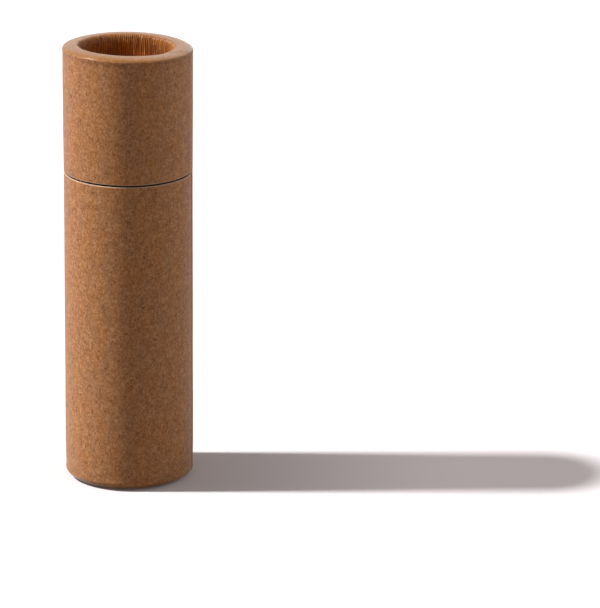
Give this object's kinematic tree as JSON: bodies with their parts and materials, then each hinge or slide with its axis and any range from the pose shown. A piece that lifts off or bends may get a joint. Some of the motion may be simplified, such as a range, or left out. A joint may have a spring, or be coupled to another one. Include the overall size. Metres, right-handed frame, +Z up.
{
  "type": "push-up balm stick",
  "caption": "Round paperboard push-up stick of balm with curled rims, a lift-off cap and a push disc in the foot.",
  "frame": {"origin": "centre of the foot, on the plane the stick stands on", "axes": "+Z up along the stick's axis to the cap, -Y towards the front"},
  "size_m": [0.0201, 0.02, 0.0696],
  "materials": {
    "kraft_wrap": "matte uncoated kraft paper",
    "kraft_facing": "matte uncoated kraft paper",
    "board": "cut edge of brown rolled board",
    "white_paper": "smooth white paper",
    "greaseproof": "greaseproof paper, faint sheen",
    "balm": "cast wax balm, soft sheen"
  },
  "bodies": {
    "body": {"body_wrap": "kraft_wrap", "body_tube": "board", "neck_wrap": "white_paper", "neck_tube": "board", "neck_liner": "greaseproof"},
    "pusher": {"push_disc_facing": "kraft_facing", "push_disc": "board", "push_disc_barrier": "greaseproof", "balm": "balm"},
    "cap": {"cap_wrap": "kraft_wrap", "cap_tube": "board", "cap_disc_facing": "kraft_facing", "cap_disc": "board", "cap_disc_barrier": "greaseproof"}
  },
  "joints": [
    {"name": "push_up", "type": "slide", "parent": "body", "child": "pusher", "axis": [0, 0, 1], "range_m": [0, 0.052]},
    {"name": "cap_lift", "type": "slide", "parent": "pusher", "child": "cap", "axis": [0, 0, 1], "range_m": [0, 0.03]}
  ]
}
